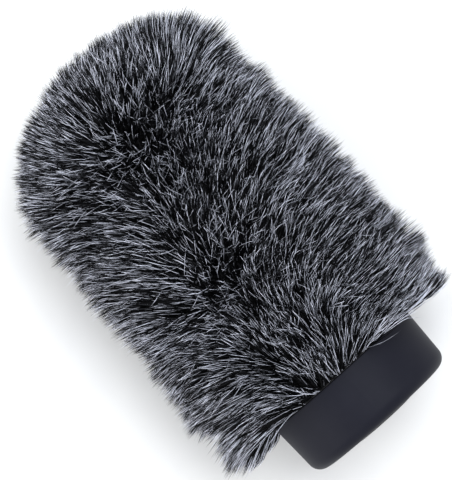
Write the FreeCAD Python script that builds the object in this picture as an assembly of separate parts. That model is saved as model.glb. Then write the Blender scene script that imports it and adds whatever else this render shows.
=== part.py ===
import FreeCAD, Part
import math
import os

# A furry slip-on windscreen for a short shotgun microphone, in millimetres. It lies on its side.
# The axis of the microphone is X. The origin is the middle of the bore that takes it, in the plane of the
# base's end face, and +X points out of the bore, the way the microphone leaves. +Z is up.

Vector = FreeCAD.Vector
AXIS = Vector(1, 0, 0)
ORIGIN = Vector(0, 0, 0)

# Driving dimensions
OVERALL_LENGTH = 159.0        # base end face to the tips of the nose pile
BASE_DIAMETER = 59.0          # rubber base where it leaves the fur
BASE_EXPOSED = 20.0           # length of the base that shows behind the fur
FUR_REAR_DIAMETER = 96.6      # over the pile, at the base end
FUR_FRONT_DIAMETER = 90.0     # over the pile, at the shoulder of the nose
NOSE_DEPTH = 36.0             # shoulder to the tips of the nose pile
SHOULDER_ROUND = 32.0         # radius of the shoulder's round, over the pile
PILE_AND_CLOTH = 18.0         # from the foam's surface to the tips of the pile
RESTING_DEPTH = 43.5          # height of the axis above the flattened pile that it rests on
MIC_DIAMETER = 19.0           # body of the microphone that the grip takes
CORE_INNER_DIAMETER = 22.8    # space round the microphone inside the core
CORE_LENGTH = 95.0            # perforated tube

# Small clearances and thicknesses
GAP = 0.2                     # between pieces that only lie against each other
SEAM_SPACE = 2.0              # between the foam and the cloth, where the seam allowances lie
CLOTH = 1.2
ALLOWANCE = 1.0               # thickness of a folded seam allowance
THREAD = 0.5                  # diameter of the sewing thread
WALL = 3.0                    # rubber wall of the base
BINDING = 0.6                 # thickness of the hem tape
SOCKET_DEPTH = 9.0            # length of the flange's socket for the core tube
SOCKET_WALL = 1.5
CAP_SPACE = 1.8               # length that the core's cap takes in front of the tube

# Places along the axis
SHOULDER_X = NOSE_DEPTH - OVERALL_LENGTH
SKIRT_X = -BASE_EXPOSED - 1.0
NECK_X = SKIRT_X - 15.0
CINCH_X = NECK_X - 3.0
FOAM_JOIN_X = -114.0
CORE_REAR_X = -28.5
CORE_FRONT_X = CORE_REAR_X - CORE_LENGTH
SOCKET_END_X = CORE_REAR_X - SOCKET_DEPTH
DRAWN_IN_X = NECK_X + 2.0     # where the cover reaches the neck
HEM_REAR_X = SKIRT_X - 1.2
BINDING_FRONT_X = SKIRT_X - 6.0
BAND_WIDTH = 4.0
BAND_REAR_X = BINDING_FRONT_X - 1.0
BAND_FRONT_X = BAND_REAR_X - BAND_WIDTH
BAND_MIDDLE_X = (BAND_FRONT_X + BAND_REAR_X) / 2
PILE_REAR_X = -BASE_EXPOSED

# Radii
BASE_RADIUS = BASE_DIAMETER / 2
NECK_RADIUS = BASE_RADIUS - 1.5
NECK_INNER_RADIUS = NECK_RADIUS - WALL + 0.5
BAND_SEAT_RADIUS = NECK_RADIUS + 0.8
BORE_RADIUS = MIC_DIAMETER / 2
CORE_INNER_RADIUS = CORE_INNER_DIAMETER / 2
CORE_OUTER_RADIUS = CORE_INNER_RADIUS + 1.1
CORE_CLEAR_RADIUS = CORE_OUTER_RADIUS + GAP
SOCKET_RADIUS = CORE_CLEAR_RADIUS + SOCKET_WALL
HEM_INNER = NECK_RADIUS + 1.0
HEM_OUTER = HEM_INNER + CLOTH
BAND_INNER = HEM_OUTER + GAP
BAND_OUTER = BAND_INNER + 1.2
FOAM_FRONT_RADIUS = FUR_FRONT_DIAMETER / 2 - PILE_AND_CLOTH
FOAM_REAR_RADIUS = FUR_REAR_DIAMETER / 2 - PILE_AND_CLOTH

# Offsets outside the foam
CLOTH_OUTER = SEAM_SPACE + CLOTH
PILE_INNER = CLOTH_OUTER + GAP
ALLOWANCE_HIGH = SEAM_SPACE - GAP
ALLOWANCE_LOW = ALLOWANCE_HIGH - ALLOWANCE

# Head of the strap
LOCK_LENGTH, LOCK_WIDTH, LOCK_HEIGHT = 6.0, 6.4, 3.4

# The nose is a ball-shaped front that runs smoothly into a rounded shoulder. The crown seam is where they
# meet. Angles are measured at each round's centre, from straight outward (0) towards the tip (90).
SHOULDER_CENTRE_RADIUS = FUR_FRONT_DIAMETER / 2 - SHOULDER_ROUND
SHOULDER_REACH = NOSE_DEPTH**2 + SHOULDER_CENTRE_RADIUS**2 - SHOULDER_ROUND**2
BALL_ROUND = SHOULDER_REACH / (2 * (NOSE_DEPTH - SHOULDER_ROUND))
BALL_CENTRE_X = BALL_ROUND - OVERALL_LENGTH
SEAM_ANGLE = math.degrees(math.atan2(BALL_ROUND - NOSE_DEPTH, SHOULDER_CENTRE_RADIUS))
FOAM_SHOULDER_ROUND = SHOULDER_ROUND - PILE_AND_CLOTH
FOAM_BALL_ROUND = BALL_ROUND - PILE_AND_CLOTH
GAP_ANGLE = 0.15              # half the gap between the nose panel and the side panel


def line(start, end):
    """Straight edge between two (x, radius) points."""
    return Part.LineSegment(Vector(start[0], 0, start[1]), Vector(end[0], 0, end[1])).toShape()


def arc(start, through, end):
    """Arc edge through three (x, radius) points."""
    points = [Vector(x, 0, radius) for x, radius in (start, through, end)]
    return Part.Arc(*points).toShape()


def round_point(centre, radius, angle):
    """Point on a round at an angle from straight outward towards the tip."""
    x = centre[0] - radius * math.sin(math.radians(angle))
    return x, centre[1] + radius * math.cos(math.radians(angle))


def shoulder_point(offset, angle):
    """Point of the shoulder's round, offset outside the foam."""
    return round_point((SHOULDER_X, SHOULDER_CENTRE_RADIUS), FOAM_SHOULDER_ROUND + offset, angle)


def ball_point(offset, angle):
    """Point of the ball-shaped front, offset outside the foam."""
    if angle == 90.0:
        return BALL_CENTRE_X - FOAM_BALL_ROUND - offset, 0.0
    return round_point((BALL_CENTRE_X, 0.0), FOAM_BALL_ROUND + offset, angle)


def round_edge(point_at, offset, start_angle, end_angle):
    """Arc edge of the shoulder or the ball, between two angles."""
    angles = (start_angle, (start_angle + end_angle) / 2, end_angle)
    return arc(*[point_at(offset, angle) for angle in angles])


def side_radius(x, offset):
    """Radius of the tapered side at x, offset outside the foam: it widens from the shoulder to the base."""
    share = (x - SHOULDER_X) / (CINCH_X - SHOULDER_X)
    return FOAM_FRONT_RADIUS + (FOAM_REAR_RADIUS - FOAM_FRONT_RADIUS) * share + offset


def outline(points):
    """Closed chain of straight edges through (x, radius) points."""
    return [line(start, end) for start, end in zip(points, points[1:] + points[:1])]


def turned(edges, start_angle=0.0, sweep=360.0):
    """Solid that closed edges make when turned about the axis, from start_angle through sweep degrees."""
    profile = Part.Face(Part.Wire(edges))
    profile.rotate(ORIGIN, AXIS, start_angle)
    return profile.revolve(ORIGIN, AXIS, sweep)


def ring(inner, outer, x_low, x_high):
    """Plain ring about the axis."""
    return turned(outline([(x_low, inner), (x_high, inner), (x_high, outer), (x_low, outer)]))


def round_bar(x, radius, length, height=0.0):
    """Bar along X that starts at x, with its middle at a height over the axis."""
    return Part.makeCylinder(radius, length, Vector(x, 0, height), AXIS)


def around(shape, count, first_angle=0.0):
    """Copies of a shape, evenly spaced about the axis."""
    copies = []
    for index in range(count):
        copy = shape.copy()
        copy.rotate(ORIGIN, AXIS, first_angle + index * 360.0 / count)
        copies.append(copy)
    return copies


def base_ring():
    """Rubber cup: the visible collar with its rounded end edge, and the neck that the cover is tied to."""
    edge_radius = 4.4
    end_radius = BASE_RADIUS - 0.6
    face_radius = end_radius - edge_radius
    corner_offset = edge_radius * math.sqrt(0.5)
    corner = (-edge_radius + corner_offset, face_radius + corner_offset)
    flange_radius, flange_depth, hole_radius = 15.2, 1.6, 12.6
    inner = BASE_RADIUS - WALL
    seat_x = SKIRT_X - 7.0
    end_wall_x = -WALL - 0.2
    edges = [
        line((0, flange_radius), (0, face_radius)),
        arc((0, face_radius), corner, (-edge_radius, end_radius)),
        line((-edge_radius, end_radius), (SKIRT_X, BASE_RADIUS)),
        line((SKIRT_X, BASE_RADIUS), (SKIRT_X, NECK_RADIUS)),
        line((SKIRT_X, NECK_RADIUS), (seat_x, NECK_RADIUS)),
        line((seat_x, NECK_RADIUS), (seat_x, BAND_SEAT_RADIUS)),
        line((seat_x, BAND_SEAT_RADIUS), (NECK_X, BAND_SEAT_RADIUS)),
        line((NECK_X, BAND_SEAT_RADIUS), (NECK_X, NECK_INNER_RADIUS)),
        line((NECK_X, NECK_INNER_RADIUS), (SKIRT_X - 1.0, NECK_INNER_RADIUS)),
        line((SKIRT_X - 1.0, NECK_INNER_RADIUS), (SKIRT_X + 1.0, inner)),
        line((SKIRT_X + 1.0, inner), (end_wall_x, inner)),
        line((end_wall_x, inner), (end_wall_x, hole_radius)),
        line((end_wall_x, hole_radius), (-flange_depth, hole_radius)),
        line((-flange_depth, hole_radius), (-flange_depth, flange_radius)),
        line((-flange_depth, flange_radius), (0, flange_radius)),
    ]
    return turned(edges)


def mic_grip():
    """Soft grommet in the base's end wall, with three lips in its bore that stretch round the microphone."""
    lip_length, groove_radius, grip_length = 4.0, BORE_RADIUS + 0.9, 20.0
    flange_radius, tube_radius, bead_radius = 15.0, 12.4, 14.2
    mouth = 1.0
    edges = outline([
        (0, BORE_RADIUS),
        (mouth, BORE_RADIUS + mouth),
        (mouth, BORE_RADIUS + 2 * mouth),
        (0, BORE_RADIUS + 3 * mouth),
        (0, flange_radius),
        (-1.4, flange_radius),
        (-1.4, tube_radius),
        (-WALL - 0.4, tube_radius),
        (-WALL - 0.4, bead_radius),
        (-WALL - 1.8, bead_radius - 0.6),
        (-WALL - 2.0, tube_radius),
        (-grip_length, tube_radius - 0.6),
        (-grip_length, BORE_RADIUS),
    ])
    grip = turned(edges)
    for index in range(2):
        groove_end = -lip_length - index * 2 * lip_length
        grip = grip.cut(ring(BORE_RADIUS - 1.0, groove_radius, groove_end - lip_length, groove_end))
    return grip


def core_flange():
    """Plastic ring in the base's neck, with a socket for the core tube and eight openings for air."""
    thickness = 2.5
    rim_radius = NECK_INNER_RADIUS - GAP
    front = CORE_REAR_X - thickness
    edges = outline([
        (CORE_REAR_X, CORE_CLEAR_RADIUS),
        (CORE_REAR_X, rim_radius),
        (front, rim_radius),
        (front, SOCKET_RADIUS),
        (SOCKET_END_X, SOCKET_RADIUS),
        (SOCKET_END_X, CORE_CLEAR_RADIUS),
    ])
    opening_radius = 2.6
    opening_height = (SOCKET_RADIUS + rim_radius) / 2
    opening = round_bar(front - 1.0, opening_radius, thickness + 2.0, opening_height)
    return turned(edges).cut(Part.makeCompound(around(opening, 8)))


def core_tube():
    """Perforated plastic tube round the microphone's space. Neighbouring rows of holes are staggered."""
    holes_round, rows, pitch, hole_radius = 8, 8, 9.6, 3.1
    drill_length = 8.0
    tube = ring(CORE_INNER_RADIUS, CORE_OUTER_RADIUS, CORE_FRONT_X, CORE_REAR_X)
    first_row = SOCKET_END_X - 8.0
    drills = []
    for row in range(rows):
        start = Vector(first_row - row * pitch, 0, CORE_INNER_RADIUS - 3.0)
        drill = Part.makeCylinder(hole_radius, drill_length, start, Vector(0, 0, 1))
        stagger = (row % 2) * 180.0 / holes_round
        drills += around(drill, holes_round, stagger)
    return tube.cut(Part.makeCompound(drills))


def core_cap():
    """End stop of the core: a disc with a spigot that plugs into the tube, and seven small sound holes."""
    disc_x, disc_thickness = CORE_FRONT_X - 1.6, 1.5
    spigot_x, spigot_length = CORE_FRONT_X - 0.4, 3.4
    drill_x, drill_length = CORE_FRONT_X - 3.0, 8.0
    hole_radius, holes_middle = 1.6, 6.6
    disc = round_bar(disc_x, CORE_OUTER_RADIUS + 1.0, disc_thickness)
    spigot = round_bar(spigot_x, CORE_INNER_RADIUS - GAP / 2, spigot_length)
    hole = round_bar(drill_x, hole_radius, drill_length, holes_middle)
    centre_hole = round_bar(drill_x, hole_radius, drill_length)
    return disc.fuse(spigot).removeSplitter().cut(Part.makeCompound(around(hole, 6) + [centre_hole]))


def rear_foam_ring():
    """Foam ring that fills the base cup round the grip."""
    grip_bead_x = -WALL - 2.0
    return ring(CORE_CLEAR_RADIUS + 0.3, NECK_INNER_RADIUS - GAP, CORE_REAR_X + GAP, grip_bead_x - GAP)


def foam_sleeve():
    """Foam tube round the core, from the base's neck to the nose plug."""
    rear_x = NECK_X - GAP
    socket_end = SOCKET_END_X - GAP
    socket_radius = SOCKET_RADIUS + GAP
    return turned(outline([
        (rear_x, socket_radius),
        (rear_x, BAND_SEAT_RADIUS),
        (CINCH_X, side_radius(CINCH_X, 0.0)),
        (FOAM_JOIN_X, side_radius(FOAM_JOIN_X, 0.0)),
        (FOAM_JOIN_X, CORE_CLEAR_RADIUS),
        (socket_end, CORE_CLEAR_RADIUS),
        (socket_end, socket_radius),
    ]))


def foam_nose():
    """Domed foam plug with a pocket for the end of the core."""
    rear_x = FOAM_JOIN_X - GAP
    pocket_radius = CORE_OUTER_RADIUS + 1.2
    pocket_x = CORE_FRONT_X - CAP_SPACE
    edges = [
        line((rear_x, pocket_radius), (rear_x, side_radius(rear_x, 0.0))),
        line((rear_x, side_radius(rear_x, 0.0)), shoulder_point(0.0, 0.0)),
        round_edge(shoulder_point, 0.0, 0.0, SEAM_ANGLE),
        round_edge(ball_point, 0.0, SEAM_ANGLE, 90.0),
        line(ball_point(0.0, 90.0), (pocket_x, 0)),
        line((pocket_x, 0), (pocket_x, pocket_radius)),
        line((pocket_x, pocket_radius), (rear_x, pocket_radius)),
    ]
    return turned(edges)


def crown_layer(inner_offset, outer_offset):
    """Nose piece between two offsets from the foam, from the crown seam to the tip."""
    start = SEAM_ANGLE + GAP_ANGLE
    edges = [
        round_edge(ball_point, outer_offset, start, 90.0),
        line(ball_point(outer_offset, 90.0), ball_point(inner_offset, 90.0)),
        round_edge(ball_point, inner_offset, 90.0, start),
        line(ball_point(inner_offset, start), ball_point(outer_offset, start)),
    ]
    return turned(edges)


def side_layer(inner_offset, outer_offset, rear_edges):
    """Side piece between two offsets from the foam, from the crown seam back to the cinch.

    rear_edges close it behind, from the outside of the cinch round to its inside."""
    end = SEAM_ANGLE - GAP_ANGLE
    outer_cinch = (CINCH_X, side_radius(CINCH_X, outer_offset))
    inner_cinch = (CINCH_X, side_radius(CINCH_X, inner_offset))
    edges = [
        line(shoulder_point(inner_offset, end), shoulder_point(outer_offset, end)),
        round_edge(shoulder_point, outer_offset, end, 0.0),
        line(shoulder_point(outer_offset, 0.0), outer_cinch),
        *rear_edges,
        line(inner_cinch, shoulder_point(inner_offset, 0.0)),
        round_edge(shoulder_point, inner_offset, 0.0, end),
    ]
    return turned(edges)


def backing_side():
    """Knitted cloth of the side panel, drawn in over the base's neck."""
    outer_cinch = (CINCH_X, side_radius(CINCH_X, CLOTH_OUTER))
    inner_cinch = (CINCH_X, side_radius(CINCH_X, SEAM_SPACE))
    outer_neck = (DRAWN_IN_X, HEM_OUTER)
    inner_neck = (DRAWN_IN_X, HEM_INNER)
    rear_edges = [
        line(outer_cinch, outer_neck),
        line(outer_neck, (HEM_REAR_X, HEM_OUTER)),
        line((HEM_REAR_X, HEM_OUTER), (HEM_REAR_X, HEM_INNER)),
        line((HEM_REAR_X, HEM_INNER), inner_neck),
        line(inner_neck, inner_cinch),
    ]
    return side_layer(SEAM_SPACE, CLOTH_OUTER, rear_edges)


def backing_crown():
    """Knitted cloth of the nose panel."""
    return crown_layer(SEAM_SPACE, CLOTH_OUTER)


def hem_binding():
    """Tape folded over the rear edge of the cloth, as a U that is open towards the nose."""
    inner_low = HEM_INNER - GAP / 2 - BINDING
    outer_high = HEM_OUTER + GAP / 2 + BINDING
    fold_x = HEM_REAR_X + GAP
    return turned(outline([
        (BINDING_FRONT_X, inner_low),
        (fold_x + BINDING, inner_low),
        (fold_x + BINDING, outer_high),
        (BINDING_FRONT_X, outer_high),
        (BINDING_FRONT_X, outer_high - BINDING),
        (fold_x, outer_high - BINDING),
        (fold_x, inner_low + BINDING),
        (BINDING_FRONT_X, inner_low + BINDING),
    ]))


def hem_stitches():
    """Running stitch round the outside of the hem tape."""
    count, stitch_length = 40, 3.0
    height = HEM_OUTER + GAP / 2 + BINDING + THREAD / 2 + 0.05
    start = Vector((HEM_REAR_X + BINDING_FRONT_X) / 2, -stitch_length / 2, height)
    stitch = Part.makeCylinder(THREAD / 2, stitch_length, start, Vector(0, 1, 0))
    return Part.makeCompound(around(stitch, count))


def retaining_band():
    """Strap that ties the cover down on the neck."""
    return ring(BAND_INNER, BAND_OUTER, BAND_FRONT_X, BAND_REAR_X)


def lock_box(margin):
    """Block of the strap's head at the underside, grown by a margin."""
    front_x = BAND_MIDDLE_X - LOCK_LENGTH / 2
    low = Vector(front_x - margin, -LOCK_WIDTH / 2 - margin, -BAND_OUTER - LOCK_HEIGHT - margin)
    size = (LOCK_LENGTH + 2 * margin, LOCK_WIDTH + 2 * margin, LOCK_HEIGHT + 2 * margin)
    return Part.makeBox(*size, low)


def retaining_band_lock():
    """Head of the strap: a block with a slot that the strap's tail runs through."""
    head = lock_box(0.0)
    slot_height, slot_width = 1.2, BAND_WIDTH + 2 * GAP
    slot_low = Vector(BAND_MIDDLE_X - slot_width / 2, -LOCK_WIDTH, -BAND_OUTER - 2 * slot_height)
    head = head.cut(Part.makeBox(slot_width, 2 * LOCK_WIDTH, slot_height, slot_low))
    long_edges = [edge for edge in head.Edges if edge.Length > LOCK_HEIGHT + 2.0]
    return head.makeFillet(0.4, long_edges)


def side_seam():
    """Folded allowance of the side seam, along the underside, inside the cloth."""
    width = 8.0
    sweep = math.degrees(width / FOAM_REAR_RADIUS)
    front_x = SHOULDER_X + 1.0
    edges = outline([
        (front_x, side_radius(front_x, ALLOWANCE_LOW)),
        (CINCH_X, side_radius(CINCH_X, ALLOWANCE_LOW)),
        (CINCH_X, side_radius(CINCH_X, ALLOWANCE_HIGH)),
        (front_x, side_radius(front_x, ALLOWANCE_HIGH)),
    ])
    return turned(edges, 180.0 - sweep / 2, sweep)


def side_stitches():
    """Stitches along the side seam, on the foam side of the allowance."""
    count, stitch_length = 18, 3.0
    first_x = SHOULDER_X + 2.0
    pitch = (CINCH_X - 2.0 - first_x) / count
    stitches = []
    for index in range(count):
        x = first_x + index * pitch
        height = -side_radius(x, ALLOWANCE_LOW) + THREAD / 2 + 0.15
        stitches.append(round_bar(x, THREAD / 2, stitch_length, height))
    return Part.makeCompound(stitches)


def crown_seam():
    """Folded allowance of the seam round the nose panel, inside the cloth."""
    low, high = ALLOWANCE_LOW, ALLOWANCE_HIGH
    start, end = SEAM_ANGLE - 10.0, SEAM_ANGLE + 4.0
    edges = [
        round_edge(shoulder_point, low, start, SEAM_ANGLE),
        round_edge(ball_point, low, SEAM_ANGLE, end),
        line(ball_point(low, end), ball_point(high, end)),
        round_edge(ball_point, high, end, SEAM_ANGLE),
        round_edge(shoulder_point, high, SEAM_ANGLE, start),
        line(shoulder_point(high, start), shoulder_point(low, start)),
    ]
    return turned(edges)


def crown_stitches():
    """Stitches round the crown seam, on the foam side of the allowance."""
    count, stitch_length = 34, 2.6
    x, height = ball_point(ALLOWANCE_LOW - THREAD / 2 - GAP / 2, SEAM_ANGLE)
    start = Vector(x, -stitch_length / 2, height)
    stitch = Part.makeCylinder(THREAD / 2, stitch_length, start, Vector(0, 1, 0))
    return Part.makeCompound(around(stitch, count))


def resting_cut(shape):
    """Takes away what lies below the flattened underside."""
    length, width = 2 * OVERALL_LENGTH, 2 * FUR_REAR_DIAMETER
    low = Vector(-0.75 * length, -width / 2, -RESTING_DEPTH - width)
    return shape.cut(Part.makeBox(length, width, width, low))


def fur_side():
    """Outer shape of the pile on the side panel. Its rear edge is rounded, round the rubber base."""
    tip_radius = FUR_REAR_DIAMETER / 2
    corner = 6.0
    corner_middle = corner * math.sqrt(0.5)
    clear_radius = BAND_OUTER + GAP
    inner_cinch = (CINCH_X, side_radius(CINCH_X, PILE_INNER))
    outer_cinch = (CINCH_X, side_radius(CINCH_X, PILE_AND_CLOTH))
    corner_start = (PILE_REAR_X - corner, tip_radius)
    corner_through = (PILE_REAR_X - corner + corner_middle, tip_radius - corner + corner_middle)
    corner_end = (PILE_REAR_X, tip_radius - corner)
    rear_edges = [
        line(outer_cinch, corner_start),
        arc(corner_start, corner_through, corner_end),
        line(corner_end, (PILE_REAR_X, clear_radius)),
        line((PILE_REAR_X, clear_radius), (DRAWN_IN_X, clear_radius)),
        line((DRAWN_IN_X, clear_radius), inner_cinch),
    ]
    pile = side_layer(PILE_INNER, PILE_AND_CLOTH, rear_edges)
    return resting_cut(pile).cut(lock_box(GAP))


def fur_crown():
    """Outer shape of the pile on the nose panel."""
    return resting_cut(crown_layer(PILE_INNER, PILE_AND_CLOTH))


PIECES = [
    base_ring,
    mic_grip,
    core_flange,
    core_tube,
    core_cap,
    rear_foam_ring,
    foam_sleeve,
    foam_nose,
    backing_side,
    backing_crown,
    side_seam,
    side_stitches,
    crown_seam,
    crown_stitches,
    hem_binding,
    hem_stitches,
    retaining_band,
    retaining_band_lock,
    fur_side,
    fur_crown,
]

os.makedirs("parts", exist_ok=True)
for build in PIECES:
    build().exportStep("parts/" + build.__name__ + ".step")
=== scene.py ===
import math

import bmesh
import bpy
import numpy as np
from mathutils import Matrix, Vector
from mathutils.bvhtree import BVHTree
from mathutils.kdtree import KDTree


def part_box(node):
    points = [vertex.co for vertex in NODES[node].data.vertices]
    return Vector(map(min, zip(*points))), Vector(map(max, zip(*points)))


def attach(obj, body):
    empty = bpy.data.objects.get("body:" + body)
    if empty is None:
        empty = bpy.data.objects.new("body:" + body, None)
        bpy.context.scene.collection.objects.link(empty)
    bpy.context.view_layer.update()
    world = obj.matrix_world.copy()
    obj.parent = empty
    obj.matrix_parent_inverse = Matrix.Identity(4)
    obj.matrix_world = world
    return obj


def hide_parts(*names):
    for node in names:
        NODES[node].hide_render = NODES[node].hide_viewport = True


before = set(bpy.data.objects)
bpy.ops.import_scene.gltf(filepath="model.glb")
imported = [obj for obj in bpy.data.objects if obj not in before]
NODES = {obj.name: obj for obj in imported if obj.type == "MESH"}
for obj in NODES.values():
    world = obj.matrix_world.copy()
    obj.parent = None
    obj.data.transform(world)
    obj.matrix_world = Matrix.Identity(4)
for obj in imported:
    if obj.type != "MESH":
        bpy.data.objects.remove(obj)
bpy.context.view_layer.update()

# A furry slip-on windscreen on its side. Metres, in the frame of the CAD model: the axis of the microphone
# is X, the nose points along -X and +Z is up. The near side is that of -Y and the far side that of +Y.
# The pile is made of single hairs, each a thin tapered tube.

MM = 0.001

# Sizes read from the frame
CLOTH_LOW, CLOTH_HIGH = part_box("backing_side")
CROWN_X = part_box("backing_crown")[0].x
PILE_LOW, PILE_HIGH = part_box("fur_side")
NOSE_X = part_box("fur_crown")[0].x
HEM_LOW, HEM_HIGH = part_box("hem_binding")
FLOOR_Z = PILE_LOW.z
HEM_X = CLOTH_HIGH.x
MIDDLE_X = NOSE_X / 2
PILE_LENGTH = CROWN_X - NOSE_X

# Sizes of the sewn cover that its boxes don't tell
NOSE_DEPTH = 36 * MM          # from the tips of the nose's pile to its shoulder
CLOTH = 1.2 * MM              # thickness of the knitted cloth
TAPE = 0.6 * MM               # thickness of the hem tape
TAPE_SLACK = 0.2 * MM         # between the tape and the cloth inside it
SEAM_GAP = 0.2 * MM           # between the cloth and the folded allowances inside it
PANEL_GAP = 0.06 * MM         # between the two panels at their seam
FOLD = 1.0 * MM               # thickness of a folded allowance
SIDE_SEAM_WIDTH = 8 * MM      # width of the side seam's two allowances
SIDE_STITCH = 4.5 * MM        # length of a stitch along the side seam
CROWN_STITCHES = 34           # stitches round the crown seam
GATHERS = 31                  # folds round the neck, where the cloth is drawn in


# Building blocks

def shader(name, color, roughness, **sockets):
    """New node material with a Principled surface. Returns the material, its node tree and the surface."""
    material = bpy.data.materials.new(name)
    material.use_nodes = True
    tree = material.node_tree
    surface = tree.nodes["Principled BSDF"]
    surface.inputs["Base Color"].default_value = (*color, 1.0)
    surface.inputs["Roughness"].default_value = roughness
    for socket, value in sockets.items():
        surface.inputs[socket.replace("_", " ")].default_value = value
    material.diffuse_color = (*color, 1.0)
    return material, tree, surface


def texture(tree, kind, scale, **sockets):
    """Procedural texture in object space, at a scale per metre."""
    place = tree.nodes.new("ShaderNodeTexCoord")
    node = tree.nodes.new(kind)
    node.inputs["Scale"].default_value = scale
    for socket, value in sockets.items():
        node.inputs[socket].default_value = value
    tree.links.new(place.outputs["Object"], node.inputs["Vector"])
    return node


def ramp(tree, source, low, high, start=0.35, end=0.65):
    """Runs a value through a colour ramp between two colours."""
    node = tree.nodes.new("ShaderNodeValToRGB")
    node.color_ramp.elements[0].position = start
    node.color_ramp.elements[0].color = (*low, 1.0)
    node.color_ramp.elements[1].position = end
    node.color_ramp.elements[1].color = (*high, 1.0)
    tree.links.new(source, node.inputs["Fac"])
    return node.outputs["Color"]


def bump(tree, surface, height, distance, strength=1.0, below=None):
    """Adds a bump of a distance in metres to the surface, over an earlier bump if one is given."""
    node = tree.nodes.new("ShaderNodeBump")
    node.inputs["Distance"].default_value = distance
    node.inputs["Strength"].default_value = strength
    tree.links.new(height, node.inputs["Height"])
    if below is not None:
        tree.links.new(below, node.inputs["Normal"])
    tree.links.new(node.outputs["Normal"], surface.inputs["Normal"])
    return node.outputs["Normal"]


def paint(node_names, material):
    """Gives CAD nodes a material in place of their own."""
    for name in node_names:
        for slot in NODES[name].material_slots:
            slot.material = material


def unit(vectors):
    """Vectors of the same directions and of length 1."""
    return vectors / np.maximum(np.linalg.norm(vectors, axis=-1, keepdims=True), 1e-12)


def fade(values, start, end):
    """0 up to the start, rising evenly to 1 at the end and beyond. The end may be the lower of the two."""
    return np.clip((values - start) / (end - start), 0, 1)


def waves(points, wavelength, seed):
    """Smooth random vector at each point, about one unit in each direction: a sum of plane waves."""
    random = np.random.default_rng(seed)
    count = 14
    lowest, highest = 0.7, 1.4      # frequencies, beside that of the wavelength
    ways = random.normal(size=(count, 3))
    ways *= 2 * math.pi / wavelength / np.linalg.norm(ways, axis=1)[:, None]
    ways *= random.uniform(lowest, highest, size=(count, 1))
    phases = random.uniform(0, 2 * math.pi, size=count)
    sizes = random.normal(size=(count, 3)) * math.sqrt(2 / count)
    return np.sin(points @ ways.T + phases) @ sizes


# Camera, floor and light

def make_camera():
    """Looks straight down on the middle, rolled so that the nose is at the upper left."""
    distance = 1.5
    view_height = 0.1602
    off_centre = 0.6 * MM
    data = bpy.data.cameras.new("camera")
    data.sensor_width = 36.0
    data.lens = data.sensor_width * distance / view_height
    data.clip_end = 20.0
    camera = bpy.data.objects.new("camera", data)
    bpy.context.scene.collection.objects.link(camera)
    roll = Matrix.Rotation(math.radians(48.0), 4, "Z")
    camera.matrix_world = Matrix.Translation((MIDDLE_X + off_centre, off_centre, distance)) @ roll
    bpy.context.scene.camera = camera


def make_floor():
    """Plain pale floor that the pile rests on."""
    half = 4.0
    material, tree, surface = shader("pale_floor", (0.67, 0.67, 0.67), 0.6, Specular_IOR_Level=0.2)
    grain = texture(tree, "ShaderNodeTexNoise", 40.0, Detail=3.0)
    color = ramp(tree, grain.outputs["Fac"], (0.66, 0.66, 0.665), (0.68, 0.68, 0.68))
    tree.links.new(color, surface.inputs["Base Color"])
    corners = [(-half, -half, 0), (half, -half, 0), (half, half, 0), (-half, half, 0)]
    mesh = bpy.data.meshes.new("floor")
    mesh.from_pydata(corners, [], [(0, 1, 2, 3)])
    mesh.materials.append(material)
    floor = bpy.data.objects.new("floor", mesh)
    floor.location = (MIDDLE_X, 0, FLOOR_Z)
    bpy.context.scene.collection.objects.link(floor)


def area_light(name, place, size, power, color):
    """Soft square light that points at the middle of the object."""
    data = bpy.data.lights.new(name, "AREA")
    data.size = size
    data.energy = power
    data.color = color
    light = bpy.data.objects.new(name, data)
    target = Vector((MIDDLE_X, 0, 0))
    light.location = place
    light.rotation_euler = (target - Vector(place)).to_track_quat("-Z", "Y").to_euler()
    bpy.context.scene.collection.objects.link(light)


def make_light():
    """Plain soft studio light: pale surroundings, a cool key from above and a warmer, low fill."""
    world = bpy.data.worlds.new("studio")
    world.use_nodes = True
    background = world.node_tree.nodes["Background"]
    background.inputs["Color"].default_value = (0.97, 0.985, 1.0, 1.0)
    background.inputs["Strength"].default_value = 1.08
    bpy.context.scene.world = world
    key_place = (MIDDLE_X - 0.30, 0.54, 1.75)
    area_light("key", key_place, size=1.2, power=37.0, color=(0.93, 0.965, 1.0))
    fill_place = (MIDDLE_X - 0.1, -1.45, 0.55)
    area_light("fill", fill_place, size=1.4, power=17.0, color=(1.0, 0.985, 0.965))
    bpy.context.scene.view_settings.view_transform = "Standard"


# Rubber, plastic, tape and thread

def base_rubber():
    """Smooth satin moulded rubber, with a fine grain and faint handling marks."""
    color = (0.0095, 0.01, 0.015)
    material, tree, surface = shader("base_rubber", color, 0.50, Specular_IOR_Level=0.06)
    marks = texture(tree, "ShaderNodeTexNoise", 55.0, Detail=5.0, Roughness=0.6)
    color = ramp(tree, marks.outputs["Fac"], (0.0084, 0.0088, 0.0138), (0.0106, 0.011, 0.0165))
    tree.links.new(color, surface.inputs["Base Color"])
    gloss = tree.nodes.new("ShaderNodeMapRange")
    gloss.inputs["To Min"].default_value = 0.44
    gloss.inputs["To Max"].default_value = 0.56
    tree.links.new(marks.outputs["Fac"], gloss.inputs["Value"])
    tree.links.new(gloss.outputs["Result"], surface.inputs["Roughness"])
    grain = texture(tree, "ShaderNodeTexNoise", 2600.0, Detail=2.0)
    bump(tree, surface, grain.outputs["Fac"], 0.03 * MM, 0.6)
    return material


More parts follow.
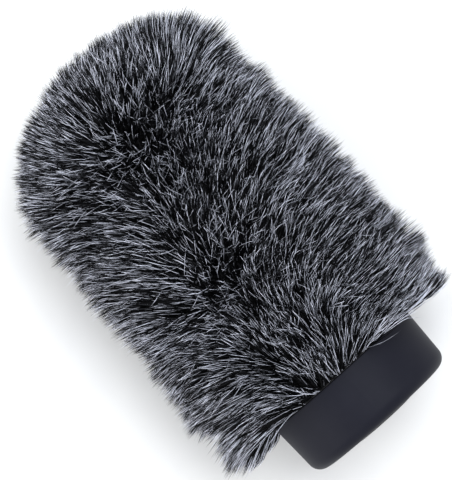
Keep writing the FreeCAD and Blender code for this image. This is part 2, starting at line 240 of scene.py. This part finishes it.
def soft_rubber():
    """Matte soft rubber of the grip."""
    material, tree, surface = shader("grip_rubber", (0.014, 0.014, 0.015), 0.62)
    dust = texture(tree, "ShaderNodeTexNoise", 160.0, Detail=4.0)
    color = ramp(tree, dust.outputs["Fac"], (0.012, 0.012, 0.013), (0.024, 0.024, 0.025))
    tree.links.new(color, surface.inputs["Base Color"])
    grain = texture(tree, "ShaderNodeTexNoise", 1800.0, Detail=2.0)
    bump(tree, surface, grain.outputs["Fac"], 0.05 * MM)
    return material


def matte_plastic(name, color, grain_scale):
    """Moulded plastic with a fine spark-eroded grain."""
    material, tree, surface = shader(name, color, 0.5)
    lighter = tuple(1.5 * channel for channel in color)
    cloud = texture(tree, "ShaderNodeTexNoise", 120.0, Detail=3.0)
    tree.links.new(ramp(tree, cloud.outputs["Fac"], color, lighter), surface.inputs["Base Color"])
    grain = texture(tree, "ShaderNodeTexVoronoi", grain_scale)
    bump(tree, surface, grain.outputs["Distance"], 0.04 * MM)
    return material


def woven(name, color, pitch):
    """Cloth with a fine ribbed weave of a pitch in metres."""
    looks = {"Sheen_Weight": 0.04, "Sheen_Roughness": 0.5, "Specular_IOR_Level": 0.15}
    material, tree, surface = shader(name, color, 0.9, **looks)
    bands = math.pi / 10 / pitch          # the wave texture's bands repeat pi / 10 / scale apart
    ribs = texture(tree, "ShaderNodeTexWave", bands, Distortion=1.5)
    fuzz = texture(tree, "ShaderNodeTexNoise", 900.0, Detail=3.0)
    lighter = tuple(2.2 * channel for channel in color)
    tree.links.new(ramp(tree, fuzz.outputs["Fac"], color, lighter), surface.inputs["Base Color"])
    first = bump(tree, surface, ribs.outputs["Fac"], 0.15 * MM)
    bump(tree, surface, fuzz.outputs["Fac"], 0.08 * MM, below=first)
    return material


def foam_material():
    """Open-cell foam: lighter cell walls, with the pits between them darkened by painted shade."""
    material, tree, surface = shader("foam", (0.03, 0.03, 0.033), 0.9)
    cells = texture(tree, "ShaderNodeTexVoronoi", 1400.0)
    # Painted shade: the deeper a spot of the cells' bump, the darker its colour.
    color = ramp(tree, cells.outputs["Distance"], (0.05, 0.05, 0.054), (0.008, 0.008, 0.009), 0.2, 0.7)
    tree.links.new(color, surface.inputs["Base Color"])
    bump(tree, surface, cells.outputs["Distance"], -0.4 * MM)
    return material


def dress_cad_nodes():
    """Gives every CAD node that stays its material."""
    paint(["base_ring"], base_rubber())
    paint(["mic_grip"], soft_rubber())
    plastic = matte_plastic("core_plastic", (0.02, 0.02, 0.021), 2200.0)
    paint(["core_flange", "core_tube", "core_cap"], plastic)
    nylon = matte_plastic("band_nylon", (0.018, 0.018, 0.02), 1500.0)
    paint(["retaining_band", "retaining_band_lock"], nylon)
    thread = woven("thread", (0.02, 0.02, 0.022), 0.2 * MM)
    paint(["side_stitches", "crown_stitches", "hem_stitches"], thread)


# The cover's outline

def node_tree(name):
    """Search tree of a CAD node's faces."""
    mesh = NODES[name].data
    points = [vertex.co for vertex in mesh.vertices]
    return BVHTree.FromPolygons(points, [face.vertices for face in mesh.polygons])


class Outline:
    """Outside of the cover's cloth in one half plane, from the tip of the nose to the hem."""

    def __init__(self):
        """Finds the outline with rays towards the CAD cloth: a fan round the nose, then straight down."""
        far_out = 100 * MM
        fan = 90
        step = 0.5 * MM
        trees = [node_tree("backing_crown"), node_tree("backing_side")]
        shoulder = Vector((NOSE_X + NOSE_DEPTH, 0, 0))
        rays = []
        for angle in np.linspace(math.pi / 2, 0, fan, endpoint=False):
            outward = Vector((-math.sin(angle), 0, math.cos(angle)))
            rays.append((shoulder + far_out * outward, -outward))
        for x in np.arange(shoulder.x, HEM_X, step):
            rays.append((Vector((x, 0, far_out)), Vector((0, 0, -1))))
        points = []
        for start, way in rays:
            hits = [tree.ray_cast(start, way) for tree in trees]
            nearest = min((hit for hit in hits if hit[0] is not None), key=lambda hit: hit[3])
            points.append((nearest[0].x, nearest[0].z))
        self.points = np.array(points)
        steps = np.linalg.norm(np.diff(self.points, axis=0), axis=1)
        self.way = np.concatenate([[0], np.cumsum(steps)])
        tangent = unit(np.gradient(self.points, self.way, axis=0))
        self.normals = np.stack([-tangent[:, 1], tangent[:, 0]], axis=1)
        self.length = self.way[-1]
        self.seam = float(np.interp(CLOTH_LOW.x, self.points[:, 0], self.way))

    def at(self, way):
        """Places along the axis, radii and unit normals at distances along the outline."""
        x, radius = (np.interp(way, self.way, self.points[:, index]) for index in range(2))
        normal = [np.interp(way, self.way, self.normals[:, index]) for index in range(2)]
        return x, radius, unit(np.stack(normal, axis=-1))

    def stretch(self, panel):
        """Where a panel starts and ends along the outline."""
        return (0.0, self.seam) if panel == "crown" else (self.seam, self.length)


OUTLINE = Outline()


def turned(x, radius, angle):
    """Points at places along the axis, radii and angles from the top towards +Y."""
    return np.stack([x, radius * np.sin(angle), radius * np.cos(angle)], axis=-1)


# Foam and cloth

def add_piece(name, mesh, material):
    """Object for a mesh of the cover, riding on the windscreen's one body."""
    mesh.materials.clear()
    mesh.materials.append(material)
    mesh.shade_smooth()
    piece = bpy.data.objects.new(name, mesh)
    bpy.context.scene.collection.objects.link(piece)
    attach(piece, "root")
    return piece


def foam_skin(points, normals):
    """Points of a block of foam, sunk into it so that its skin is a little uneven and slack."""
    slack, least, most = 0.15, 0.02, 0.4
    swells = 0.07 * waves(points, 9 * MM, 51)[:, 0]
    dents = 0.05 * waves(points, 3 * MM, 52)[:, 0]
    sink = np.clip(slack - swells - dents, least, most) * MM
    return points - sink[:, None] * normals


def foam_piece(node, material):
    """Cut foam in the place of a CAD node, with soft edges."""
    block = bpy.data.objects.new("block", NODES[node].data.copy())
    bpy.context.scene.collection.objects.link(block)
    remesh = block.modifiers.new("remesh", "REMESH")
    remesh.mode = "VOXEL"
    remesh.voxel_size = 1.1 * MM
    smooth = block.modifiers.new("smooth", "SMOOTH")
    smooth.iterations = 2
    mesh = bpy.data.meshes.new_from_object(block.evaluated_get(bpy.context.evaluated_depsgraph_get()))
    bpy.data.objects.remove(block)
    points, normals = np.empty((2, len(mesh.vertices) * 3))
    mesh.vertices.foreach_get("co", points)
    mesh.vertices.foreach_get("normal", normals)
    points = foam_skin(points.reshape(-1, 3), normals.reshape(-1, 3))
    mesh.vertices.foreach_set("co", points.reshape(-1))
    mesh.update()
    piece = add_piece(f"cut_{node}", mesh, material)
    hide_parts(node)
    return piece


def turned_mesh(name, section, lift, steps=240, start=0.0, sweep=2 * math.pi):
    """Closed mesh of a section of (x, radius) points turned about the axis.

    lift gives how far each point moves outward, from its place along the axis and its angle."""
    whole = math.isclose(sweep, 2 * math.pi)
    angles = start + np.linspace(0, sweep, steps, endpoint=not whole)
    x, radius = np.array(section).T
    around, along = np.meshgrid(angles, x, indexing="ij")
    off_axis = radius[None, :] > MM
    points = turned(along, radius[None, :] + lift(along, around) * off_axis, around)
    shape = bmesh.new()
    rows = [[shape.verts.new(point) for point in row] for row in points]
    count = len(x)
    for row, after in zip(rows, rows[1:] + (rows[:1] if whole else [])):
        for index in range(count):
            other = (index + 1) % count
            shape.faces.new((row[index], row[other], after[other], after[index]))
    if not whole:
        shape.faces.new(rows[0][::-1])
        shape.faces.new(rows[-1])
    bmesh.ops.remove_doubles(shape, verts=shape.verts, dist=0.001 * MM)
    bmesh.ops.recalc_face_normals(shape, faces=shape.faces)
    mesh = bpy.data.meshes.new(name)
    shape.to_mesh(mesh)
    shape.free()
    return mesh


def gathers(x, angle):
    """Small folds where the cloth is drawn in over the neck, and the faint unevenness of the rest."""
    depth, uneven = 0.22, 0.05
    drawn_in = fade(x, HEM_X - 20 * MM, HEM_X - 8 * MM)
    bunched = 1.3 * np.sin(3 * angle)
    deeper = 0.7 + 0.3 * np.cos(5 * angle + 1.0)
    folds = np.cos(GATHERS * angle + bunched) * deeper
    return (depth * drawn_in * folds + uneven * np.sin(7 * angle + x / (4 * MM))) * MM


def puckers(x, angle):
    """Small hollows between the stitches of a seam."""
    depth = 0.05 * MM
    return depth * (np.cos(2 * math.pi * x / SIDE_STITCH) + np.cos(CROWN_STITCHES * angle))


def cloth_section(panel, count):
    """Section of one panel's cloth: its outside, and back along its inside."""
    start, end = OUTLINE.stretch(panel)
    first = start if panel == "crown" else start + PANEL_GAP
    x, radius, normal = OUTLINE.at(np.linspace(first, end - PANEL_GAP, count))
    outside = np.stack([x, radius], axis=-1)
    inside = outside - CLOTH * normal
    inside[:, 1] = np.maximum(inside[:, 1], 0)
    return np.concatenate([outside, inside[::-1]])


def cover_panel(panel, material):
    """Knitted cloth of one panel, stretched over the foam."""
    points_along = 28 if panel == "crown" else 110
    mesh = turned_mesh(f"knit_{panel}", cloth_section(panel, points_along), gathers)
    piece = add_piece(f"knit_{panel}", mesh, material)
    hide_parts(f"backing_{panel}")
    return piece


def folded_seam(node, material, start, sweep, steps):
    """Folded allowance of a seam, inside the cloth, over a sweep of angles."""
    points_along = 40
    low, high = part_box(node)
    ways = np.interp([low.x, high.x], OUTLINE.points[:, 0], OUTLINE.way)
    x, radius, normal = OUTLINE.at(np.linspace(*ways, points_along))
    outside = np.stack([x, radius], axis=-1) - (CLOTH + SEAM_GAP) * normal
    section = np.concatenate([outside, (outside - FOLD * normal)[::-1]])
    mesh = turned_mesh(f"folded_{node}", section, puckers, steps, start, sweep)
    piece = add_piece(f"folded_{node}", mesh, material)
    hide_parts(node)
    return piece


def hem_tape(material):
    """Tape folded over the cloth's rear edge, following its gathers."""
    outer = HEM_HIGH.z
    inner = outer - 2 * TAPE - CLOTH - TAPE_SLACK
    front, rear = HEM_LOW.x, HEM_HIGH.x
    section = [
        (front, outer),
        (rear - TAPE / 2, outer),
        (rear, outer - TAPE / 2),
        (rear, inner + TAPE / 2),
        (rear - TAPE / 2, inner),
        (front, inner),
        (front, inner + TAPE),
        (rear - TAPE, inner + TAPE),
        (rear - TAPE, outer - TAPE),
        (front, outer - TAPE),
    ]
    piece = add_piece("hem_tape", turned_mesh("hem_tape", section, gathers), material)
    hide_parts("hem_binding")
    return piece


# The pile. A share is the share of the way along the outline, from the tip of the nose (0) to the hem (1).

# Shades of the hairs, from the black of the roots (partly their own colour, partly painted shade) to the
# silver of the tips
SHADES = [0.0015, 0.005, 0.011, 0.022, 0.045, 0.09, 0.18, 0.33, 0.56, 0.90]
HAIR_TINT = (0.93, 0.96, 1.11)
HAIRS_PER_PIECE = 6000

# The layers of the pile: hairs per mm2 of cloth and how much that grows at the hem, width, length, rings
# along a hair, how loose it lies, and how far its tip is drawn into its lock
LAYERS = {
    "underfur": {
        "density": 1.2, "hem": 2.0, "width": 0.36 * MM, "length": 0.82,
        "rings": 4, "loose": 0.15, "locked": 0.4,
    },
    "guard": {
        "density": 2.2, "hem": 2.0, "width": 0.25 * MM, "length": 1.08,
        "rings": 5, "loose": 0.10, "locked": 0.4,
    },
    "silver": {
        "density": 0.76, "hem": 4.0, "width": 0.165 * MM, "length": 1.08,
        "rings": 7, "loose": 0.15, "locked": 0.10,
    },
}

# The locks that the hairs stand in, in the same terms, with their shortest and longest
LOCKS = {"density": 0.07, "hem": 2.0, "loose": 0.10, "lengths": (0.82, 1.2)}
LOCK_SEEDS = (7, 8, 9)        # for the places, the directions and the lengths of the locks

# Single hairs
HAIR_LENGTHS = (0.84, 1.12)   # shortest and longest, as shares of the layer's length
HAIR_WIDTHS = (0.6, 1.4)      # thinnest and thickest, as shares of the layer's width
TAPER = ([0, 0.5, 0.85, 1], [0.8, 1.0, 0.7, 0.1])     # thickness at shares of a hair's length
CRIMP = 0.04 * MM             # unevenness of a hair's line
TIP_LOOSENESS = 0.2           # looseness of the tips, beside that of the whole hair
LOCKED_SPREAD = 0.2           # how much more or less than its layer a hair is drawn into its lock
MOST_LOCKED = 0.9
ROOT_DEPTH = 0.4 * MM         # how deep a hair is rooted in the cloth
DROOP = 0.10                  # how far the tips bend down

# Parts of the pile, each from the share where it sets in to the share where it is whole
FRONT_PART = (0.30, 0.15)
REAR_PART = (0.78, 1.00)
HEM_PART = (0.84, 0.88)       # stands square to the axis, against the base
LESS_ROOT_SHADE_PART = (0.92, 0.98)      # shows its roots, so less painted shade is put on them and it is lighter there

# Strips along the hem, and how far the last roots stand off the cloth to clear the tape
DENSE_STRIP = 5 * MM
TAPE_STRIP = 3 * MM
TAPE_CLEARANCE = (1.0 * MM, 1.1 * MM)     # along the axis and outward

# How the pile is stroked, at shares of the way, as slopes: on top across towards the far side, and towards
# the nose on the ridge, on the near side and on the far side
STROKE_PLACES = [0.00, 0.12, 0.22, 0.30, 0.46, 0.56, 0.70, 0.82, 0.90, 1.00]
STROKE_ACROSS = [0.40, 0.15, -0.05, -0.10, 0.15, 0.60, 0.60, 0.55, 0.30, 0.15]
STROKE_RIDGE = [0.30, 0.35, 0.15, 0.10, 0.20, 0.45, 0.55, 0.65, 0.60, 0.40]
STROKE_NEAR = [0.30, 0.50, 0.80, 1.00, 0.50, 0.90, 0.25, 0.25, 0.50, 0.40]
STROKE_FAR = [0.55, 1.10, 0.80, 0.25, 0.65, 0.80, 0.40, 0.30, 0.25, 0.12]
RIDGE_WIDTH = 0.4             # half width of the ridge, as a share of the radius
PARTING = (-0.60714, -0.25)   # the stroke across sets in between these shares of the radius
ACROSS_ALL = 0.05             # the stroke across that reaches everywhere
ACROSS_FRONT = 0.25           # what the front gets beside it
LESS_OUTERMOST = 0.4          # how much less the stroke is at the outermost edge of a side
SQUARE_AT_HEM = 0.9           # how far the cloth's own slope is taken out at the hem

# Leans and bends towards the base, as slopes on the near and on the far side
LEAN_UNDER_HEM = (0.35, -0.10)
LEAN_BESIDE_BASE = (0.0, 0.50)
BEND_LOW_DOWN = (0.12, 0.22)
BEND_BESIDE_BASE = (0.30, -0.35)

# The two places on top where the pile stands straight up, in dimples: their shares of the length from the
# base, Y and radius, how far they undo the stroke, and how long the pile is where nothing is left of it
STANDING = [(0.72, 1 * MM, 11 * MM), (0.40, -10 * MM, 9 * MM)]
STANDING_EFFECT = 0.85
STANDING_LENGTH = 0.72

# The pile's length at the places of the stroke, as shares of its length at the tip of the nose
LENGTH_NEAR = [0.85, 0.66, 0.75, 1.04, 1.01, 1.08, 1.00, 1.06, 1.18, 1.26]
LENGTH_FAR = [0.85, 0.98, 1.14, 1.04, 1.08, 1.06, 1.00, 0.95, 1.12, 1.04]

# How smooth random waves sway the pile: their sizes, wavelengths and seeds
SWAY = [(0.06, 40 * MM, 11), (0.08, 14 * MM, 12)]
SWAY_ON_TOP = [(0.12, 7 * MM, 13)]
SWAY_OF_TIPS = [(0.06, 26 * MM, 14)]

# How the pile gives way to the floor and to the base
FLOOR_GIVE = 2.5 * MM         # over the last stretch above the floor
FLOOR_SPLAY = 4 * MM          # unevenness of the way in which the pressed hairs go
REAR_EDGE = 0.8 * MM          # how far the pile laps over the front edge of the base
REAR_SPREAD = 0.4 * MM        # unevenness of that
REAR_GIVE = 2 * MM            # over the last stretch before it
BESIDE_BASE = (27.5 * MM, 32.5 * MM)      # distance sideways from which the pile passes the base
REAR_BULGE = 4.5 * MM         # how much further back the pile reaches there


def hair_materials():
    """One plain material for each shade, so that the shades go along each hair from root to tip."""
    least_gloss, gloss_by_shade = 0.04, 0.6
    materials = []
    for index, shade in enumerate(SHADES):
        color = [min(1.0, shade * channel) for channel in HAIR_TINT]
        gloss = least_gloss + gloss_by_shade * shade
        material, _, _ = shader(f"hair_{index}", color, 0.45, Specular_IOR_Level=gloss)
        materials.append(material)
    return materials


def scatter(panel, density, at_hem, random):
    """Hair roots on a panel, their normals and shares of the way.

    Round places get more, because the tips spread there, and so does the strip along the hem."""
    by_root, by_tip = 0.5, 0.3
    x, radius, normal = OUTLINE.at(OUTLINE.way)
    tips = np.stack([x, radius], axis=-1) + PILE_LENGTH * normal
    spread = np.linalg.norm(np.gradient(tips, OUTLINE.way, axis=0), axis=1)
    weight = by_root * radius + by_tip * np.maximum(tips[:, 1], 0) * spread
    weight *= 1 + at_hem * fade(OUTLINE.way, OUTLINE.length - DENSE_STRIP, OUTLINE.length)
    start, end = OUTLINE.stretch(panel)
    weight[(OUTLINE.way < start) | (OUTLINE.way > end)] = 0
    steps = (weight[1:] + weight[:-1]) / 2 * np.diff(OUTLINE.way)
    reached = np.concatenate([[0], np.cumsum(steps)])
    count = int(density * 2 * math.pi * reached[-1] / MM**2)
    way = np.interp(random.random(count) * reached[-1], reached, OUTLINE.way)
    angle = random.uniform(0, 2 * math.pi, count)
    x, radius, normal = OUTLINE.at(way)
    at_tape = fade(way, OUTLINE.length - TAPE_STRIP, OUTLINE.length)
    along, outward = TAPE_CLEARANCE
    roots = turned(x + along * at_tape, radius + outward * at_tape, angle)
    normals = turned(normal[:, 0], normal[:, 1], angle)
    return roots - ROOT_DEPTH * normals, normals, way / OUTLINE.length


class Zones:
    """Which part of the pile each root belongs to, as values from 0 to 1."""

    def __init__(self, normals, share):
        """Tells the parts from the normals of the cloth and the shares of the way."""
        self.top = fade(normals[:, 2], 0, 1)
        self.far = fade(normals[:, 1], -0.5, 0.5)
        self.near = 1 - self.far
        self.outermost = normals[:, 1] ** 2
        self.ridge = self.top * np.exp(-((normals[:, 1] / RIDGE_WIDTH) ** 2))
        self.front = fade(share, *FRONT_PART)
        self.rear = fade(share, *REAR_PART)
        self.hem = fade(share, *HEM_PART)
        self.under_hem = self.hem * fade(normals[:, 2], 0, -0.5)

    def by_side(self, near, far):
        """A value that passes from that of the near side to that of the far side."""
        return near * self.near + far * self.far


def sway(roots, sizes):
    """Sum of smooth random vectors of the given sizes, wavelengths and seeds."""
    return sum(size * waves(roots, wavelength, seed) for size, wavelength, seed in sizes)


def stroking(roots):
    """How much each root takes part in the stroking: little where the pile stands straight up."""
    stroked = np.ones(len(roots))
    for place, y, radius in STANDING:
        away = np.hypot(roots[:, 0] - place * NOSE_X, roots[:, 1] - y) / radius
        stroked -= STANDING_EFFECT * np.exp(-(away**2)) * (roots[:, 2] > 0)
    return stroked


def lean(roots, normals, share, zones, stroked):
    """Direction in which the pile stands at each root, not yet of length 1."""
    strokes = (STROKE_ACROSS, STROKE_RIDGE, STROKE_NEAR, STROKE_FAR)
    across, on_ridge, near, far = (np.interp(share, STROKE_PLACES, stroke) for stroke in strokes)
    uneven = sway(roots, SWAY) + (zones.top**2)[:, None] * sway(roots, SWAY_ON_TOP)
    direction = normals + stroked[:, None] * uneven
    beside = zones.by_side(near, far) * (1 - LESS_OUTERMOST * zones.outermost) * (1 - zones.under_hem)
    direction[:, 0] *= 1 - SQUARE_AT_HEM * zones.hem
    direction[:, 0] -= stroked * (zones.ridge * on_ridge + (1 - zones.ridge) * beside)
    direction[:, 0] += zones.by_side(*LEAN_UNDER_HEM) * zones.under_hem
    direction[:, 0] += zones.by_side(*LEAN_BESIDE_BASE) * zones.outermost**2 * zones.hem
    parted = fade(normals[:, 1], *PARTING)
    direction[:, 1] += stroked * (across * zones.top * parted + ACROSS_ALL + ACROSS_FRONT * zones.front)
    return direction


def tip_bend(roots, zones):
    """How the tips bend away from the direction of the roots."""
    bend = sway(roots, SWAY_OF_TIPS)
    bend[:, 0] += zones.by_side(*BEND_LOW_DOWN) * (1 - zones.top) * (1 - zones.rear)
    bend[:, 0] += zones.by_side(*BEND_BESIDE_BASE) * zones.outermost**2 * zones.rear
    bend[:, 2] -= DROOP
    return bend


def pile_length(direction, normals, share, stroked):
    """Length of the pile at each root. Where it leans it is longer, so that it stays nearly as thick."""
    near, far = (np.interp(share, STROKE_PLACES, lengths) for lengths in (LENGTH_NEAR, LENGTH_FAR))
    toward_far = fade(normals[:, 1], -1, 1)
    steepest, gain = 1.25, 0.6
    leaning = np.clip(np.linalg.norm(direction, axis=1), 1.0, steepest) ** gain
    dimple = STANDING_LENGTH + (1 - STANDING_LENGTH) * stroked
    return PILE_LENGTH * (near * (1 - toward_far) + far * toward_far) * leaning * dimple


def growth(roots, normals, share):
    """How the pile grows at each root: its direction, the bend of its tips, its length and looseness."""
    zones = Zones(normals, share)
    stroked = stroking(roots)
    direction = lean(roots, normals, share, zones, stroked)
    bend = stroked[:, None] * tip_bend(roots, zones)
    length = pile_length(direction, normals, share, stroked)
    looser_on_top = 1 + zones.top**2
    tighter_at_hem = 1 - 0.5 * zones.hem
    return unit(direction), bend, length, looser_on_top * tighter_at_hem


def hair_paths(roots, directions, bends, lengths, steps):
    """Centre line of each hair at the given shares of its length."""
    share = steps[None, :, None]
    curve = share * directions[:, None, :] + share**2 * bends[:, None, :]
    reach = np.linalg.norm(curve[:, -1, :], axis=-1)[:, None, None]
    least_reach = 0.6
    return roots[:, None, :] + curve * (lengths[:, None, None] / np.maximum(reach, least_reach))


def lock_paths(panel, length, steps):
    """Roots and centre lines of a panel's locks, the same locks for every layer."""
    for_places, for_directions, for_lengths = (np.random.default_rng(seed) for seed in LOCK_SEEDS)
    roots, normals, share = scatter(panel, LOCKS["density"], LOCKS["hem"], for_places)
    directions, bends, lengths, _ = growth(roots, normals, share)
    directions = unit(directions + LOCKS["loose"] * for_directions.normal(size=roots.shape))
    lengths *= length * for_lengths.uniform(*LOCKS["lengths"], size=len(roots))
    return roots, hair_paths(roots, directions, bends, lengths, steps)


def gathered(roots, own, locks, strength, steps):
    """Draws each hair's tip towards the middle of the lock that it stands in."""
    lock_roots, lines = locks
    tree = KDTree(len(lock_roots))
    for index, place in enumerate(lock_roots):
        tree.insert(place, index)
    tree.balance()
    lock = np.array([tree.find(place)[1] for place in roots])
    pull = strength[:, None, None] * steps[None, :, None]
    return own + pull * (lines[lock] - own)


def soften(values, limit, give):
    """Keeps values under a limit, with a soft give before it."""
    over = values - (limit - give)
    return np.where(over > 0, limit - give * np.exp(-np.maximum(over, 0) / give), values)


def press_down(paths, random):
    """Bends the hairs that would pass through the floor along it, mostly sideways."""
    lengthwise = 0.3              # how far they go along the axis too
    depth = soften(-paths[:, :, 2], -FLOOR_Z, FLOOR_GIVE)
    pressed = -paths[:, :, 2] - depth
    sideways = paths[:, -1, :] * np.array([lengthwise, 1, 0])
    way = unit(sideways + random.normal(scale=FLOOR_SPLAY, size=(len(paths), 3)))
    paths[:, :, 0] += pressed * way[:, None, 0]
    paths[:, :, 1] += pressed * way[:, None, 1]
    paths[:, :, 2] = -depth
    return paths


def keep_off_base(paths, random):
    """Bends the hairs that would lie over the base upright, and lets them pass beside it."""
    beside = fade(np.abs(paths[:, :, 1]), *BESIDE_BASE)
    edge = PILE_HIGH.x + random.normal(REAR_EDGE, REAR_SPREAD, size=(len(paths), 1)) + REAR_BULGE * beside
    paths[:, :, 0] = soften(paths[:, :, 0], edge, REAR_GIVE)
    return paths


def tubes(paths, radii, random):
    """Vertices of three-sided tapered tubes along the paths. The last ring is a single point."""
    count, rings, _ = paths.shape
    tangent = unit(np.gradient(paths, axis=1))
    helper = unit(random.normal(size=(count, 1, 3)))
    first = unit(np.cross(tangent, helper))
    second = np.cross(tangent, first)
    corners = []
    for corner in range(3):
        angle = 2 * math.pi * corner / 3
        offset = math.cos(angle) * first + math.sin(angle) * second
        corners.append(paths[:, :-1] + radii[:, :-1, None] * offset[:, :-1])
    sides = np.stack(corners, axis=2).reshape(count, (rings - 1) * 3, 3)
    return np.concatenate([sides, paths[:, -1:]], axis=1)


def tube_faces(rings):
    """Quads and tip triangles of one tube, and the segment that each quad belongs to."""
    quads, quad_segment = [], []
    for ring in range(rings - 2):
        for corner in range(3):
            other = (corner + 1) % 3
            low, high = 3 * ring, 3 * (ring + 1)
            quads.append((low + corner, low + other, high + other, high + corner))
            quad_segment.append(ring)
    last, tip = 3 * (rings - 2), 3 * (rings - 1)
    points = [(last + corner, last + (corner + 1) % 3, tip) for corner in range(3)]
    return np.array(quads), np.array(quad_segment), np.array(points)


def hair_mesh(name, vertices, shades, materials):
    """One object of many hairs. shades holds the shade of each segment of each hair."""
    count, per_hair, _ = vertices.shape
    rings = (per_hair - 1) // 3 + 1
    quads, segment, points = tube_faces(rings)
    start = (np.arange(count) * per_hair)[:, None, None]
    loops = np.concatenate([(quads[None] + start).reshape(-1), (points[None] + start).reshape(-1)])
    quad_count, point_count = count * len(quads), count * 3
    starts = np.concatenate([np.arange(quad_count) * 4, quad_count * 4 + np.arange(point_count) * 3])
    slots = np.concatenate([shades[:, segment].reshape(-1), np.repeat(shades[:, -1], 3)])
    mesh = bpy.data.meshes.new(name)
    mesh.vertices.add(count * per_hair)
    mesh.vertices.foreach_set("co", vertices.astype(np.float32).reshape(-1))
    mesh.loops.add(len(loops))
    mesh.loops.foreach_set("vertex_index", loops.astype(np.int32))
    mesh.polygons.add(quad_count + point_count)
    mesh.polygons.foreach_set("loop_start", starts.astype(np.int32))
    for material in materials:
        mesh.materials.append(material)
    mesh.polygons.foreach_set("material_index", slots.astype(np.int32))
    mesh.update(calc_edges=True)
    mesh.shade_smooth()
    hair = bpy.data.objects.new(name, mesh)
    bpy.context.scene.collection.objects.link(hair)
    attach(hair, "root")
    return hair


def brightness(layer, random, top):
    """How bright each hair's tip is, from 0 to 1. top is 1 where the hair stands on top of the windscreen."""
    count = len(top)
    if layer == "underfur":
        lightest = 0.12
        return random.uniform(0.0, lightest, count)
    if layer == "guard":
        # The guard hairs on top are darkened with painted shade.
        darkest, lighter, painted_shade_on_top = 0.02, 0.50, 0.4
        few = random.random(count) ** 3
        return (darkest + lighter * few) * (1 - painted_shade_on_top * top**4)
    usual, spread, least, most = 1.0, 0.14, 0.5, 1.15
    return np.clip(random.normal(usual, spread, count), least, most)


def hair_shades(steps, bright, less_root_shade, random):
    """Shade of each segment: dark at the root (partly its own colour, partly painted shade of the pile's
    depth), up to the hair's own brightness, with painted glints.
    """
    at_root, rise_per_length, glint_size = 0.10, 2.5, 0.11
    middles = (steps[:-1] + steps[1:]) / 2
    # Darker towards the root: partly the hair's own dark root, partly painted shade deep in the pile.
    rise = np.clip(at_root + less_root_shade[:, None] + rise_per_length * middles[None, :], 0, 1)
    level = bright[:, None] * rise
    # Painted glints: random lighter and darker segments stand in for highlights along the hairs.
    glint = random.normal(scale=glint_size, size=level.shape) * bright[:, None]
    last = len(SHADES) - 1
    return np.clip(np.round((level + glint) * last), 0, last).astype(int)


def grow(panel, layer, seed, materials):
    """Grows one layer of the pile on one panel of the cover and returns its pieces."""
    random = np.random.default_rng(seed)
    sizes = LAYERS[layer]
    steps = np.linspace(0, 1, sizes["rings"])
    roots, normals, share = scatter(panel, sizes["density"], sizes["hem"], random)
    count = len(roots)
    directions, bends, lengths, looseness = growth(roots, normals, share)
    loose = sizes["loose"] * looseness[:, None]
    directions = unit(directions + loose * random.normal(size=roots.shape))
    bends = bends + TIP_LOOSENESS * loose * random.normal(size=roots.shape)
    lengths = lengths * sizes["length"] * random.uniform(*HAIR_LENGTHS, size=count)
    own = hair_paths(roots, directions, bends, lengths, steps)
    locks = lock_paths(panel, sizes["length"], steps)
    strength = np.clip(random.normal(sizes["locked"], LOCKED_SPREAD, size=count), 0, MOST_LOCKED)
    paths = gathered(roots, own, locks, strength, steps)
    crimp = random.normal(scale=CRIMP, size=paths.shape)
    crimp[:, 0] = 0
    paths = press_down(paths + crimp, random)
    paths = keep_off_base(paths, random)
    taper = np.interp(steps, *TAPER)
    radii = sizes["width"] / 2 * random.uniform(*HAIR_WIDTHS, size=(count, 1)) * taper[None, :]
    bright = brightness(layer, random, fade(normals[:, 2], 0, 1))
    # Along the hem the roots get less of the painted root shade.
    shades = hair_shades(steps, bright, fade(share, *LESS_ROOT_SHADE_PART), random)
    vertices = tubes(paths, radii, random)
    order = np.argsort(share)
    pieces = []
    for index, chosen in enumerate(np.array_split(order, math.ceil(count / HAIRS_PER_PIECE))):
        name = f"pile_{panel}_{layer}_{index + 1}"
        pieces.append(hair_mesh(name, vertices[chosen], shades[chosen], materials))
    return pieces


def grow_pile(panel, seed, materials):
    """All the hair of one panel."""
    pieces = []
    for index, layer in enumerate(LAYERS):
        pieces += grow(panel, layer, seed + index, materials)
    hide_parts(f"fur_{panel}")
    return pieces


# The sewn cover, the foam and the scene

def make_cover():
    """The sewn cover: cloth, tape, seams and pile."""
    shades = hair_materials()
    knit = woven("knit_backing", (0.008, 0.008, 0.009), 0.7 * MM)
    tape = hem_tape(woven("hem_tape", (0.003, 0.003, 0.0035), 0.5 * MM))
    crown_hair = grow_pile("crown", 100, shades)
    side_hair = grow_pile("side", 200, shades)
    crown_seam = folded_seam("crown_seam", knit, 0.0, 2 * math.pi, 240)
    sweep = SIDE_SEAM_WIDTH / (CLOTH_HIGH.z - CLOTH)
    side_seam = folded_seam("side_seam", knit, math.pi - sweep / 2, sweep, 12)
    cover_panel("crown", knit)
    cover_panel("side", knit)


def make_foam():
    """The three pieces of foam inside the cover and the base."""
    material = foam_material()
    for node in ("rear_foam_ring", "foam_sleeve", "foam_nose"):
        foam_piece(node, material)


make_camera()
make_floor()
make_light()
dress_cad_nodes()
make_foam()
make_cover()
